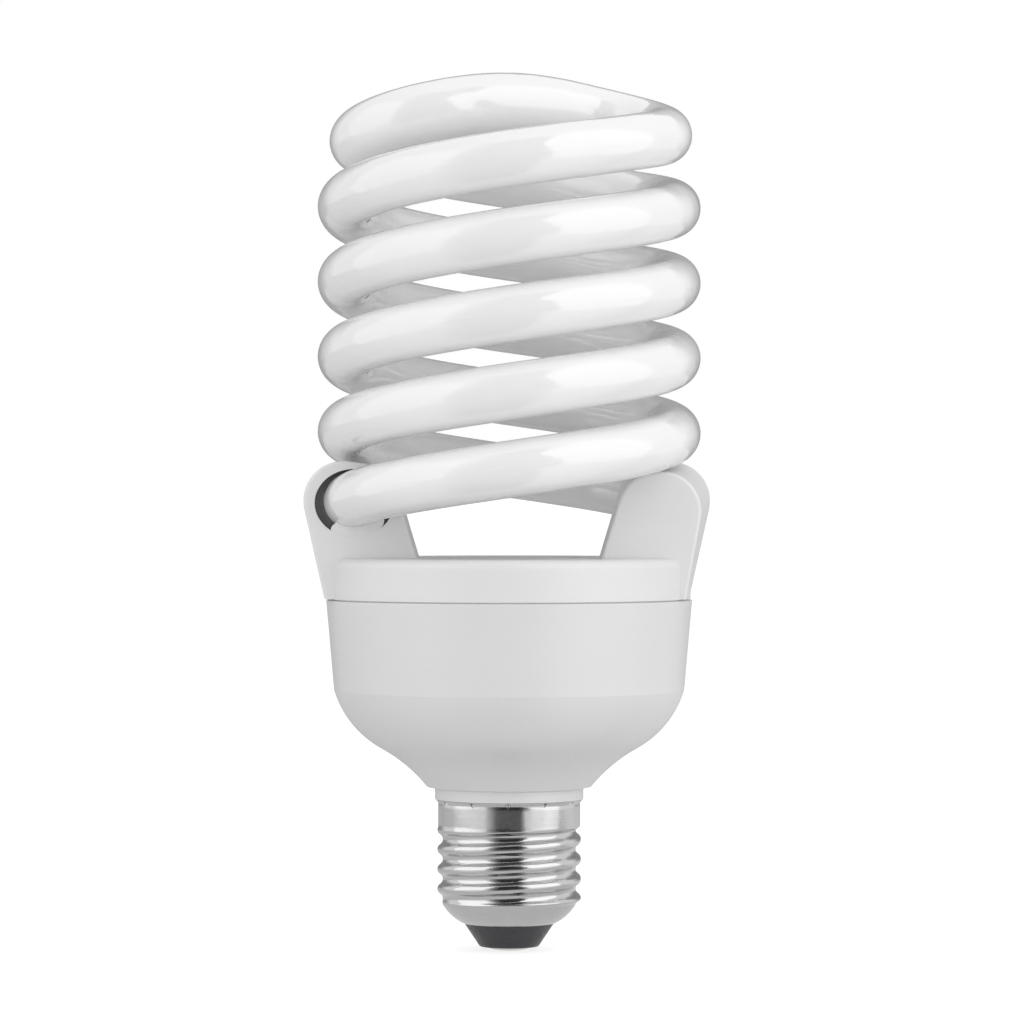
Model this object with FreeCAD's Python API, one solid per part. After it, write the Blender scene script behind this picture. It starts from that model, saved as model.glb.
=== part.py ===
import FreeCAD, Part
import math
import os

# Spiral energy saving bulb, upright, cap down. Millimetres.
# The origin is the tip of the centre contact, +Z runs up the axis of the lamp.

V = FreeCAD.Vector
ORIGIN = V(0, 0, 0)
UP = V(0, 0, 1)

# Discharge tube: two right-hand helices under one crown bar
tube_radius = 5.09
coil_radius = 30.05          # axis of the lamp to the centre line of the tube
coil_lead = 27.53            # rise of one helix in one turn
coil_turns = 2.4264          # from the middle of a socket to the crown
crown_bend = 12.0            # plan radius of the bend from helix to crown bar
crown_rise = 8.0             # top of the crown's centre line above the helix end
crown_swell = 0.8            # extra radius of the blown glass at the middle of the crown
tube_end_angle = 10.0        # degrees that the tube runs past the middle of a socket
tube_end_pull = 2.2          # how far the sealed end is drawn in towards the axis
tube_end_taper = 5.0         # length over which the sealed end narrows
tube_end_radius = 3.0
ring_spacing = 4.0           # distance between the sections that shape the tube
rings_per_face = 12          # sections or rings that one face of a long skin spans

# Top cover and its two sockets
seam_height = 64.25
cover_step = 0.3             # how far the cover stands in from the housing rim
cover_height = 7.75
cover_round = 1.7
cover_wall = 1.5
seam_groove = 0.25
seam_groove_depth = 0.5
socket_wall = 1.2
socket_mouth_y = 10.6        # mouth plane, in front of the middle of the socket
socket_back_y = 12.3         # closed plane, behind the middle of the socket
socket_axis_rise = 16.95     # centre line of the tube above the seam, mid socket
socket_foot_out = 3.45       # outer face at the foot of the mouth, outside the coil radius
back_foot_out = 1.95         # the same at the closed end
socket_foot_rise = 0.35      # foot of the socket above the seam
socket_inner_in = 13.3       # inner face at the top of the cover, inside the coil radius
socket_inner_lean = 0.30
socket_round = 7.3
socket_edge = 0.6            # rounding of the edges round both ends of a socket
socket_top_slope = 0.13
mouth_lean = 0.2257          # outward lean of the outer face at the mouth plane
mouth_top_rise = 25.55       # top of the socket above the seam at the mouth plane
back_lean = 0.18
back_top_rise = 23.9
mouth_gap_side = 2.1         # tube to the side of the mouth
mouth_gap_top = 1.09
mouth_drop = 0.72            # centre of the mouth below the tube's centre line
glue_depth = 3.0
glue_recess = 0.1
glue_level = 4.85            # top of the adhesive below the tube's centre line
glue_slope = 0.2             # rise of its top towards the axis of the lamp
glue_end = 5.9               # tube's centre line to the end of the adhesive nearer the axis
glue_end_lean = 0.42
glue_fit = 0.03

# Ballast housing
rim_out = 3.55               # rim of the housing outside the coil radius
housing_wall = 1.5
housing_taper = 1.45         # how far the wall draws in from the rim to the bowl
bowl_share = 0.5168          # height of the bowl's rim, of the way from throat to seam
flex_radius = 23.6           # where the bowl turns from convex to concave
flex_share = 0.2073
bowl_bulge = 1.33
throat_radius = 15.1
throat_height = 30.0
collar_radius = 13.65
collar_height = 29.7
neck_fit = 0.1               # neck to the inside of the cap shell
neck_rise = 0.2              # foot of the neck above the top of the thread
neck_wall = 1.3
neck_seat_gap = 0.05         # collar above the lip of the cap shell

# Screw cap, E27 round thread
lip_height = 27.7
lip_radius = 13.55
lip_depth = 0.65
band_radius = 13.05
thread_crest = 13.2
thread_root = 12.2
thread_pitch = 3.629
thread_start = 9.4           # height of a crest at angle 0
thread_top = 22.9
thread_fade = 1.0            # height over which the thread dies out into the plain band
thread_run_out = 1.1         # the same at the shoulder
shoulder_height = 8.3
shoulder_bulge = 0.35
shell_foot_radius = 8.65
shell_foot_height = 5.0
shell_wall = 0.3
stake_count = 12
stake_angle = -0.8
stake_drop = 0.5             # below the lip
stake_radius = 0.45
stake_depth = 0.17
cap_row_step = 0.3           # distance between the rings that shape the cap shell
cap_columns = 40
shoulder_rows = 10

# Cap insulator and centre contact
contact_radius = 4.0
contact_thickness = 0.7
contact_flat = 2.4
contact_round = 0.5
contact_crown = 0.12
eyelet_radius = 1.2
eyelet_bore = 0.7
eyelet_stand = 0.8           # eyelet above the glass
glass_foot_radius = 5.45
glass_flange_radius = 9.2
glass_flange_height = 2.7
glass_rise = 0.6             # slope under the flange
glass_fit = 0.05

# Circuit board and the ribs that carry it
board_margin = 2.4           # edge of the board inside the rim of the housing
board_drop = 4.85            # underside of the board below the seam
board_thickness = 1.6
board_rib_count = 4
board_rib_angle = 45.0
board_rib_width = 1.8
board_rib_overlap = 3.7      # rib under the edge of the board
board_rib_length = 12.4
skirt_fit = 0.12
skirt_wall = 1.4
board_fit = 0.1              # foot of the cover's skirt above the board
leg_radius = 0.35
leg_fit = 0.1
leg_length = 1.0             # how far a leg shows above the board

# Ballast components, hung from the underside of the board: places and sizes
filter_radius = 8.0
filter_length = 28.0
filter_crimp = 3.0
filter_bead = 0.5
filter_leg_pitch = 7.5
choke_place = (-19.5, 0.0)
choke_length = 20.0
choke_height = 13.0
choke_depth = 6.0
choke_limb = 2.6
choke_post = 5.2
choke_winding = 3.0
bobbin_wall = 0.6
part_fit = 0.05
drive_place = (12.0, -19.0)
drive_radius = 5.0
drive_bore = 3.0
drive_height = 4.0
drive_turns = 9
drive_wire = 0.35
transistor_x = 19.8
transistor_y = 9.0
transistor_size = (4.4, 10.0, 15.0)
transistor_tab = 1.3
transistor_body_share = 0.6
transistor_bevel = 0.4
transistor_hole = 1.6
transistor_leg_run = 3.0
transistor_leg_pitch = 2.54
film_round = 0.5
film_leg_inset = 1.2
film_sizes = {
    "resonant_capacitor": ((0.0, 17.0), (13.0, 5.0, 11.0)),
    "coupling_capacitor": ((0.0, -15.8), (10.0, 5.0, 9.0)),
    "starting_capacitor": ((-13.0, 18.0), (7.0, 4.0, 8.0)),
}
line_choke_place = (12.0, 18.0)
line_choke_radius = 4.0
line_choke_core = 2.4
line_choke_length = 9.0
line_choke_flange = 1.2
line_choke_inset = 0.5
thermistor_place = (-14.0, -17.0)
thermistor_radius = 3.5
thermistor_thickness = 3.0
diode_radius = 1.35
diode_length = 5.0
diode_y = 24.0
diode_spacing = 5.0
fuse_place = (0.0, -22.5)
fuse_radius = 1.6
fuse_length = 8.0
trigger_place = (9.0, -9.5)
trigger_radius = 1.0
trigger_length = 4.0
resistor_x = 12.5
resistor_spacing = 2.9
resistor_radius = 1.15
resistor_length = 6.0
axial_overhang = 1.4
axial_round = 0.35

# Wiring
post_in = 3.55               # posts inside the coil radius
post_spread = 4.2
post_y = -2.0
post_width = 0.8
post_height = 5.0
lead_radius = 0.3
lead_spread = 3.2
lead_reach = 2.0
lead_bend = 0.8
lead_wrap = 1.5              # lead below the top of its post
supply_radius = 0.6
supply_bend = 0.9
supply_drop = 1.5            # shell wire below the foot of the neck

# Values worked out from the sizes above
coil_slope = coil_lead / (2 * math.pi * coil_radius)
crown_angle = 2 * math.pi * (coil_turns % 1.0)
crown_hub = coil_radius - crown_bend
crown_lean = math.asin(crown_bend / crown_hub)
crown_bar = math.sqrt(crown_hub ** 2 - crown_bend ** 2)
crown_sweep = math.pi / 2 + crown_lean
crown_run = crown_bar + crown_bend * crown_sweep
mouth_angle = math.asin(socket_mouth_y / coil_radius)
end_angle = math.radians(tube_end_angle)
strand_run = crown_run + coil_radius * (2 * math.pi * coil_turns + end_angle)
socket_axis = seam_height + socket_axis_rise
coil_top = socket_axis + coil_lead * coil_turns
cover_top = seam_height + cover_height
rim_radius = coil_radius + rim_out
cover_radius = rim_radius - cover_step
break_radius = rim_radius - housing_taper
break_height = throat_height + bowl_share * (seam_height - throat_height)
flex_height = throat_height + flex_share * (seam_height - throat_height)
board_radius = rim_radius - board_margin
board_height = seam_height - board_drop
board_top = board_height + board_thickness
post_x = coil_radius - post_in
band_bore = band_radius - shell_wall
neck_radius = band_bore - neck_fit
neck_foot = thread_top + neck_rise
wall_slope = (rim_radius - break_radius) / (seam_height - break_height)
round_bulge = 1 - math.cos(math.pi / 4)
cap_angles = [2 * math.pi * index / cap_columns for index in range(cap_columns)]
leg_places = []


def save(shape, name):
    shape.exportStep("parts/" + name + ".step")


# Shared outlines and solids

def eased(share):
    """Smooth step from 0 to 1."""
    share = min(1.0, max(0.0, share))
    return share * share * (3 - 2 * share)


def arc_edge(start, end, bulge):
    """Line, or an arc that stands out by bulge to the left of its run in the XZ plane."""
    if abs(bulge) < 1e-6:
        return Part.LineSegment(start, end).toShape()
    run = end - start
    left = V(-run.z, 0, run.x).normalize()
    return Part.Arc(start, (start + end) * 0.5 + left * bulge, end).toShape()


def turned(outline):
    """Solid turned about Z from (radius, height, bulge of the edge that arrives) points."""
    edges = []
    for index, (radius, height, bulge) in enumerate(outline):
        before = outline[index - 1]
        edges.append(arc_edge(V(before[0], 0, before[1]), V(radius, 0, height), bulge))
    return Part.Face(Part.Wire(edges)).revolve(ORIGIN, UP, 360)


def rounded_wire(corners, radii, closed=True):
    """Straight runs through the corners, each corner rounded by its own tangent arc."""
    count = len(corners)
    joints = []
    for index in range(count):
        here = corners[index]
        ends = not closed and index in (0, count - 1)
        if ends or radii[index] == 0:
            joints.append((here, None, here))
            continue
        back = (corners[index - 1] - here).normalize()
        ahead = (corners[(index + 1) % count] - here).normalize()
        half = back.getAngle(ahead) / 2
        reach = radii[index] / math.tan(half)
        middle = (back + ahead).normalize() * (radii[index] / math.sin(half) - radii[index])
        joints.append((here + back * reach, here + middle, here + ahead * reach))
    edges = []
    for index, (enter, crest, leave) in enumerate(joints):
        if crest is not None:
            edges.append(Part.Arc(enter, crest, leave).toShape())
        if closed or index < count - 1:
            onward = joints[(index + 1) % count][0]
            edges.append(Part.LineSegment(leave, onward).toShape())
    return Part.Wire(edges)


def bent_wire(points, radius, bend):
    """Round wire along straight runs with rounded corners."""
    path = rounded_wire(points, [bend] * len(points), closed=False)
    ring = Part.Wire(Part.makeCircle(radius, points[0], points[1] - points[0]))
    return path.makePipeShell([ring], True, False)


def block(size, low):
    return Part.makeBox(size[0], size[1], size[2], V(*low))


def rod(radius, length, foot, direction=UP):
    return Part.makeCylinder(radius, length, foot, direction)


def half_turn(shape):
    copy = shape.copy()
    copy.rotate(ORIGIN, UP, 180)
    return copy


def closed_skin(rings, stations, knots, marks, degree, weights):
    """A row of faces through closed rings of poles that share knots and weights."""
    columns = []
    for index in range(len(weights)):
        column = Part.BSplineCurve()
        column.interpolate(Points=[ring[index] for ring in rings], Parameters=stations)
        columns.append(column)
    last = len(stations) - 1
    count = math.ceil(last / rings_per_face)
    limits = [stations[round(last * index / count)] for index in range(count + 1)]
    faces = []
    for start, end in zip(limits, limits[1:]):
        spans = [column.copy() for column in columns]
        for span in spans:
            span.segment(start, end)
        along = spans[0]
        pole_weights = [[weight] * along.NbPoles for weight in weights]
        skin = Part.BSplineSurface()
        skin.buildFromPolesMultsKnots(
            [span.getPoles() for span in spans], marks, along.getMultiplicities(),
            knots, along.getKnots(), True, False, degree, along.Degree, pole_weights)
        faces.append(skin.toShape())
    return faces


def end_rings(faces):
    """The closed edge where a row of faces starts, and the one where it ends."""
    first = [edge for edge in faces[0].Edges if edge.isClosed()][0]
    last = [edge for edge in faces[-1].Edges if edge.isClosed()][-1]
    return first, last


def sealed(faces):
    """Solid inside faces whose edges lie on each other."""
    skin = Part.makeCompound(faces)
    skin.sewShape()
    solid = Part.Solid(Part.Shell(skin.Faces))
    if solid.Volume < 0:
        solid.reverse()
    return solid


# Discharge tube

def crown_swelling(run):
    """Extra radius of the glass over the crown, down to none where the helix begins."""
    return crown_swell * eased(1 - abs(run) / crown_run)


def strand_point(run):
    """Centre line of one strand, run measured in plan from the middle of the crown."""
    if run <= crown_run:
        share = run / crown_run
        rise = crown_rise * (2 * share ** 3 - 3 * share ** 2 + 1)
        height = coil_top + rise - coil_slope * crown_run * (share ** 3 - share ** 2)
        height -= crown_swelling(run)
    else:
        height = coil_top - coil_slope * (run - crown_run)
    if run <= crown_bar:
        heading = crown_angle + crown_lean
        return V(run * math.cos(heading), run * math.sin(heading), height)
    if run <= crown_run:
        angle = crown_angle + crown_sweep - (run - crown_bar) / crown_bend
        x = crown_hub * math.cos(crown_angle) + crown_bend * math.cos(angle)
        y = crown_hub * math.sin(crown_angle) + crown_bend * math.sin(angle)
        return V(x, y, height)
    turned_by = (run - crown_run) / coil_radius
    before_socket = 2 * math.pi * coil_turns - turned_by
    past_mouth = max(0.0, mouth_angle - before_socket) / (mouth_angle + end_angle)
    radius = coil_radius - tube_end_pull * past_mouth ** 2
    angle = crown_angle - turned_by
    return V(radius * math.cos(angle), radius * math.sin(angle), height)


def centre_point(run):
    """Centre line of the whole tube; the strand of negative run is the half turned copy."""
    if run >= 0:
        return strand_point(run)
    point = strand_point(-run)
    return V(-point.x, -point.y, point.z)


def tube_frame(run):
    """Centre, sideways and upward unit vectors of the tube's section."""
    step = 0.01
    forward = (centre_point(run + step) - centre_point(run - step)).normalize()
    side = forward.cross(UP).normalize()
    return centre_point(run), side, side.cross(forward)


def circle_poles(centre, side, up, radius):
    """Eight poles of an exact circle: four on it and four at the corners round it."""
    poles = []
    for index in range(8):
        reach = radius if index % 2 == 0 else radius * math.sqrt(2)
        angle = index * math.pi / 4
        poles.append(centre + side * (reach * math.cos(angle)) + up * (reach * math.sin(angle)))
    return poles


def tube_length(first, last, ring_radius):
    """Round solid along the centre line, from one run to another."""
    count = max(4, math.ceil((last - first) / ring_spacing))
    stations = [first + (last - first) * index / count for index in range(count + 1)]
    rings = [circle_poles(*tube_frame(run), ring_radius(run)) for run in stations]
    weights = [1.0, math.sqrt(0.5)] * 4
    skin = closed_skin(rings, stations, [0, 1, 2, 3, 4], [2] * 5, 2, weights)
    ends = [Part.Face(Part.Wire(ring)) for ring in end_rings(skin)]
    return sealed(skin + ends)


def glass_radius(run):
    """Radius of the glass: swollen at the crown, narrowing at the sealed ends."""
    left = max(0.0, strand_run - abs(run))
    share = max(0.0, 1 - left / tube_end_taper)
    return tube_radius + crown_swelling(run) - (tube_radius - tube_end_radius) * share ** 2


def discharge_tube():
    return tube_length(-strand_run, strand_run, glass_radius)


# Top cover with its two sockets

def socket_outline(y, inset, foot_height):
    """Socket section at y: slanted outer face, rounded top, leaning inner face."""
    share = (socket_mouth_y - y) / (socket_mouth_y + socket_back_y)
    lean = mouth_lean + (back_lean - mouth_lean) * share
    foot_out = socket_foot_out + (back_foot_out - socket_foot_out) * share
    top_rise = mouth_top_rise + (back_top_rise - mouth_top_rise) * share - inset

    def outer_x(rise):
        return coil_radius + foot_out + lean * rise - inset

    def inner_x(rise):
        return coil_radius - socket_inner_in + socket_inner_lean * (rise - cover_height) + inset

    def corner(face, face_lean):
        """Where a side face meets the sloping top, as rise above the seam."""
        level = top_rise + socket_top_slope * (face(0.0) - coil_radius)
        rise = level / (1 - socket_top_slope * face_lean)
        return V(face(rise), y, seam_height + rise)

    foot_rise = foot_height - seam_height
    corners = [
        V(outer_x(foot_rise), y, foot_height),
        corner(outer_x, lean),
        corner(inner_x, socket_inner_lean),
        V(inner_x(foot_rise), y, foot_height),
    ]
    bend = socket_round - inset
    return rounded_wire(corners, [0, bend, bend, 0])


def socket_body(inset, foot_height):
    """Loft from the mouth plane to the closed plane, drawn in all round by inset."""
    mouth = socket_outline(socket_mouth_y - inset, inset, foot_height)
    back = socket_outline(inset - socket_back_y, inset, foot_height)
    return Part.makeLoft([mouth, back], True, True)


def soft_socket():
    """Socket from just above the seam, with the edges round its two ends rounded."""
    foot_height = seam_height + socket_foot_rise
    socket = socket_body(0.0, foot_height)
    edges = []
    for edge in socket.Edges:
        middle = edge.CenterOfMass
        at_end = middle.y > socket_mouth_y - part_fit or middle.y < part_fit - socket_back_y
        if at_end and middle.z > foot_height + part_fit:
            edges.append(edge)
    return socket.makeFillet(socket_edge, edges)


def mouth_plug(gap, depth):
    """Elliptical plug through the mouth wall, smaller than the hole by gap."""
    run = strand_run - coil_radius * (end_angle + mouth_angle)
    tube_centre = centre_point(run)
    middle = V(tube_centre.x, socket_mouth_y, tube_centre.z - mouth_drop)
    wide = tube_radius + mouth_gap_side - gap
    high = tube_radius + mouth_gap_top - gap
    oval = Part.Ellipse(middle + V(wide, 0, 0), middle + V(0, 0, high), middle)
    return Part.Face(Part.Wire(oval.toShape())).extrude(V(0, -depth, 0))


def skirt_radius():
    rim_bore = rim_radius - housing_wall
    return rim_bore - wall_slope * (seam_height - board_top) - skirt_fit


def top_cover():
    rise = cover_top - cover_round
    groove_radius = cover_radius - seam_groove_depth
    shell = turned([
        (0, seam_height, 0),
        (groove_radius, seam_height, 0),
        (groove_radius, seam_height + seam_groove, 0),
        (cover_radius, seam_height + seam_groove, 0),
        (cover_radius, rise, 0),
        (cover_radius - cover_round, cover_top, -cover_round * round_bulge),
        (0, cover_top, 0),
    ])
    skirt_foot = board_top + board_fit
    skirt = rod(skirt_radius(), seam_height - skirt_foot, V(0, 0, skirt_foot))
    socket = soft_socket()
    shell = shell.fuse([skirt, socket, half_turn(socket)]).removeSplitter()
    skirt_bore = skirt_radius() - skirt_wall
    bore_step = cover_radius - cover_wall - skirt_bore
    room = turned([
        (0, skirt_foot - 1, 0),
        (skirt_bore, skirt_foot - 1, 0),
        (skirt_bore, seam_height + cover_wall, 0),
        (skirt_bore + bore_step, seam_height + cover_wall + bore_step, 0),
        (skirt_bore + bore_step, cover_top - cover_wall, 0),
        (0, cover_top - cover_wall, 0),
    ])
    socket_room = socket_body(socket_wall, cover_top - 2 * cover_wall)
    mouth = mouth_plug(0.0, 2 * socket_wall)
    mouth.translate(V(0, socket_wall / 2, 0))
    cuts = [room, socket_room, half_turn(socket_room), mouth, half_turn(mouth)]
    return shell.cut(cuts)


def tube_adhesive():
    """Adhesive in the lower part of the right socket's mouth, shaped round the tube."""
    plug = mouth_plug(glue_fit, glue_depth)
    plug.translate(V(0, -glue_recess, 0))
    run = strand_run - coil_radius * (end_angle + mouth_angle)
    centre = centre_point(run)
    level = centre.z - glue_level
    far = 2 * tube_radius
    corners = [
        V(centre.x - glue_end, socket_mouth_y, level + glue_slope * glue_end),
        V(centre.x + far, socket_mouth_y, level - glue_slope * far),
        V(centre.x + far, socket_mouth_y, level - far),
        V(centre.x - glue_end + glue_end_lean * far, socket_mouth_y, level - far),
    ]
    below = Part.Face(rounded_wire(corners, [0, 0, 0, 0])).extrude(V(0, -2 * glue_depth, 0))
    reach = 2 * glue_depth
    around = tube_length(run - reach, run + reach, lambda place: tube_radius + glue_fit)
    return plug.common(below).cut(around)


# Ballast housing

def bowl_side(inset):
    """Bowl from the seam down to the throat, drawn in by inset."""
    marks = [(break_radius, break_height), (flex_radius, flex_height)]
    marks.append((throat_radius, throat_height))
    spans = [(b[0] - a[0], b[1] - a[1]) for a, b in zip(marks, marks[1:])]
    lengths = [math.hypot(*span) for span in spans]
    headings = [math.atan2(span[1], span[0]) for span in spans]
    upper_turn = 2 * math.atan(2 * bowl_bulge / lengths[0])
    lower_turn = headings[0] - upper_turn - headings[1]
    tangents = [headings[0] + upper_turn, headings[0] - upper_turn, headings[1] - lower_turn]
    side = [(rim_radius - inset, seam_height, 0)]
    turns = [0, upper_turn, lower_turn]
    for mark, tangent, turn in zip(marks, tangents, turns):
        radius = mark[0] + inset * math.sin(tangent)
        height = mark[1] - inset * math.cos(tangent)
        chord = math.hypot(radius - side[-1][0], height - side[-1][1])
        side.append((radius, height, chord / 2 * math.tan(turn / 2)))
    return side


def run_backwards(side):
    """The same edges, listed from the other end."""
    backwards = []
    bulge = 0
    for radius, height, next_bulge in reversed(side):
        backwards.append((radius, height, bulge))
        bulge = -next_bulge
    return backwards


def ballast_housing():
    neck_seat = lip_height + neck_seat_gap
    neck_bore = neck_radius - neck_wall
    outline = bowl_side(0.0) + [
        (collar_radius, collar_height, 0),
        (collar_radius, neck_seat, 0),
        (neck_radius, neck_seat, 0),
        (neck_radius, neck_foot, 0),
        (neck_bore, neck_foot, 0),
        (neck_bore, collar_height, 0),
    ] + run_backwards(bowl_side(housing_wall))
    bowl = turned(outline)
    inner_side = bowl_side(housing_wall / 2)
    filled = turned(inner_side + [(0, inner_side[-1][1], 0), (0, seam_height, 0)])
    rib_start = board_radius - board_rib_overlap
    rib = block(
        (rim_radius - rib_start, board_rib_width, board_rib_length),
        (rib_start, -board_rib_width / 2, board_height - board_rib_length))
    ribs = []
    for index in range(board_rib_count):
        turned_rib = rib.copy()
        turned_rib.rotate(ORIGIN, UP, board_rib_angle + index * 360 / board_rib_count)
        ribs.append(turned_rib.common(filled))
    return bowl.fuse(ribs).removeSplitter()


# Screw cap

def knuckle_radius(angle, height):
    """Round thread: equal arcs at crest and root, climbing to the right."""
    phase = (height - thread_start) / thread_pitch - angle / (2 * math.pi)
    offset = abs(phase - round(phase)) * thread_pitch
    quarter = thread_pitch / 4
    depth = thread_crest - thread_root
    arc = (quarter ** 2 + depth ** 2 / 4) / depth
    if offset <= quarter:
        return thread_crest - arc + math.sqrt(arc ** 2 - offset ** 2)
    return thread_root + arc - math.sqrt(arc ** 2 - (2 * quarter - offset) ** 2)


def cap_radius(angle, height):
    """Outside of the shell from the lip down to the shoulder."""
    band = eased((height - thread_top + thread_fade) / thread_fade)
    root = eased((shoulder_height + thread_run_out - height) / thread_run_out)
    lip = eased((height - lip_height + lip_depth) / lip_depth)
    plain = band_radius + (lip_radius - band_radius) * lip
    thread = knuckle_radius(angle, height)
    return band * plain + root * thread_root + (1 - band - root) * thread


def cap_skin(inset):
    """Outer skin of the shell, or the inner one, drawn in by the wall."""
    stations = []
    rows = []
    row_count = math.ceil((lip_height - shoulder_height) / cap_row_step)
    for index in range(row_count + 1):
        height = lip_height - (lip_height - shoulder_height) * index / row_count
        stations.append(lip_height - height)
        rows.append([(cap_radius(angle, height) - inset, height) for angle in cap_angles])
    top = V(thread_root - inset, 0, shoulder_height)
    foot = V(shell_foot_radius - inset, 0, shell_foot_height)
    curve = arc_edge(top, foot, shoulder_bulge)
    points = curve.discretize(Number=shoulder_rows + 1)
    for point in points[1:]:
        stations.append(stations[-1] + curve.Length / shoulder_rows)
        rows.append([(point.x, point.z)] * len(cap_angles))
    rings = []
    for row in rows:
        places = []
        for (radius, height), angle in zip(row, cap_angles):
            places.append(V(radius * math.cos(angle), radius * math.sin(angle), height))
        ring = Part.BSplineCurve()
        ring.interpolate(Points=places, PeriodicFlag=True, Parameters=list(range(cap_columns + 1)))
        rings.append(ring)
    poles = [ring.getPoles() for ring in rings]
    marks = rings[0].getMultiplicities()
    return closed_skin(poles, stations, rings[0].getKnots(), marks, 3, [1.0] * len(poles[0]))


def screw_cap_shell():
    skins = [cap_skin(0.0), cap_skin(shell_wall)]
    faces = skins[0] + skins[1]
    for outer, inner in zip(end_rings(skins[0]), end_rings(skins[1])):
        rim = Part.Face(Part.Wire(outer)).cut(Part.Face(Part.Wire(inner)))
        faces += rim.Faces
    shell = sealed(faces)
    stakes = []
    for index in range(stake_count):
        angle = math.radians(stake_angle + index * 360 / stake_count - 90)
        outward = V(math.cos(angle), math.sin(angle), 0)
        place = outward * (band_radius + stake_radius - stake_depth)
        place.z = lip_height - stake_drop
        stakes.append(Part.makeSphere(stake_radius, place, outward))
    return shell.cut(stakes)


def cap_insulator():
    foot = contact_thickness
    waist = shell_foot_radius - shell_wall - glass_fit
    ledge = shell_foot_height + shell_wall
    return turned([
        (eyelet_radius + glass_fit, foot, 0),
        (glass_foot_radius, foot, 0),
        (waist, shell_foot_height - glass_fit, 0),
        (waist, ledge, 0),
        (glass_flange_radius, ledge + glass_rise, 0),
        (glass_flange_radius, ledge + glass_flange_height, 0),
        (eyelet_radius + glass_fit, ledge + glass_flange_height, 0),
    ])


def centre_contact():
    top = shell_foot_height + shell_wall + glass_flange_height + eyelet_stand
    return turned([
        (eyelet_bore, contact_thickness, 0),
        (0, contact_thickness, 0),
        (0, 0, 0),
        (contact_flat, 0, 0),
        (contact_radius, contact_round, -contact_crown),
        (contact_radius, contact_thickness, 0),
        (eyelet_radius, contact_thickness, 0),
        (eyelet_radius, top, 0),
        (eyelet_bore, top, 0),
    ])


# Ballast: every component hangs from the underside of the board

def legs(places):
    """Straight legs up through the board, and a note of where they pass."""
    leg_places.extend(places)
    rise = board_top + leg_length - board_height
    return [rod(leg_radius, rise, V(x, y, board_height)) for x, y in places]


def on_legs(body, places):
    """A component whose body meets the board, fused with its legs."""
    return body.fuse(legs(places))


def film_capacitor(place, size):
    width, depth, height = size
    low = (place[0] - width / 2, place[1] - depth / 2, board_height - height)
    body = block(size, low)
    body = body.makeFillet(film_round, body.Edges)
    reach = width / 2 - film_leg_inset
    return on_legs(body, [(place[0] - reach, place[1]), (place[0] + reach, place[1])])


def axial_part(place, radius, length, along):
    """Cylindrical body lying under the board, with bent leads up through it."""
    middle = V(place[0], place[1], board_height - radius)
    body = rod(radius, length, middle - along * (length / 2), along)
    body = body.makeFillet(radius * axial_round, [edge for edge in body.Edges if edge.isClosed()])
    top = board_top + leg_length
    pieces = []
    for side in (-1, 1):
        start = middle + along * (side * (length / 2 - leg_radius))
        turn = middle + along * (side * (length / 2 + axial_overhang))
        tip = V(turn.x, turn.y, top)
        leg_places.append((turn.x, turn.y))
        pieces.append(bent_wire([start, turn, tip], leg_radius, 2 * leg_radius))
    return body.fuse(pieces)


def filter_capacitor():
    foot = board_height - filter_length
    neck = foot + filter_crimp
    bead = filter_bead
    can = turned([
        (0, foot, 0),
        (filter_radius - bead, foot, 0),
        (filter_radius, foot + bead, -bead * round_bulge),
        (filter_radius, board_height - filter_crimp - bead, 0),
        (filter_radius - bead, board_height - filter_crimp, 0),
        (filter_radius, board_height - filter_crimp + bead, 0),
        (filter_radius, board_height, 0),
        (0, board_height, 0),
    ])
    reach = filter_leg_pitch / 2
    return on_legs(can, [(-reach, 0.0), (reach, 0.0)])


def choke_half(upper):
    """Half of the ferrite core: a back and three limbs, the middle one round."""
    x, y = choke_place
    half_height = choke_height / 2
    middle = board_height - half_height
    gap = part_fit / 2
    low = middle + gap if upper else middle - half_height
    tall = half_height - gap
    body = block((choke_depth, choke_length, tall), (x - choke_depth / 2, y - choke_length / 2, low))
    window = half_height - choke_limb
    window_low = middle if upper else middle - window
    span = choke_length / 2 - choke_limb
    room = block((choke_depth, 2 * span, window), (x - choke_depth / 2, y - span, window_low))
    post = rod(choke_post / 2, tall, V(x, y, low))
    return body.cut(room).fuse(post)


def choke_bobbin():
    x, y = choke_place
    middle = board_height - choke_height / 2
    window = choke_height / 2 - choke_limb - part_fit
    outer = choke_length / 2 - choke_limb - part_fit
    bore = choke_post / 2 + part_fit
    tube = rod(bore + bobbin_wall, 2 * window, V(x, y, middle - window))
    flange = rod(outer, bobbin_wall, V(x, y, middle - window))
    upper = rod(outer, bobbin_wall, V(x, y, middle + window - bobbin_wall))
    hole = rod(bore, 2 * window, V(x, y, middle - window))
    return tube.fuse([flange, upper]).cut(hole).fuse(bobbin_pins())


def choke_winding_coil():
    x, y = choke_place
    middle = board_height - choke_height / 2
    reach = choke_height / 2 - choke_limb - 2 * part_fit - bobbin_wall
    bore = choke_post / 2 + 2 * part_fit + bobbin_wall
    outer = bore + choke_winding
    foot = V(x, y, middle - reach)
    return rod(outer, 2 * reach, foot).cut(rod(bore, 2 * reach, foot))


def drive_ring():
    x, y = drive_place
    foot = V(x, y, board_height - drive_wire * 2 - drive_height)
    ring = rod(drive_radius, drive_height, foot)
    ring = ring.cut(rod(drive_bore, drive_height, foot))
    return ring.makeFillet(drive_wire, [edge for edge in ring.Edges if edge.isClosed()])


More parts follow.
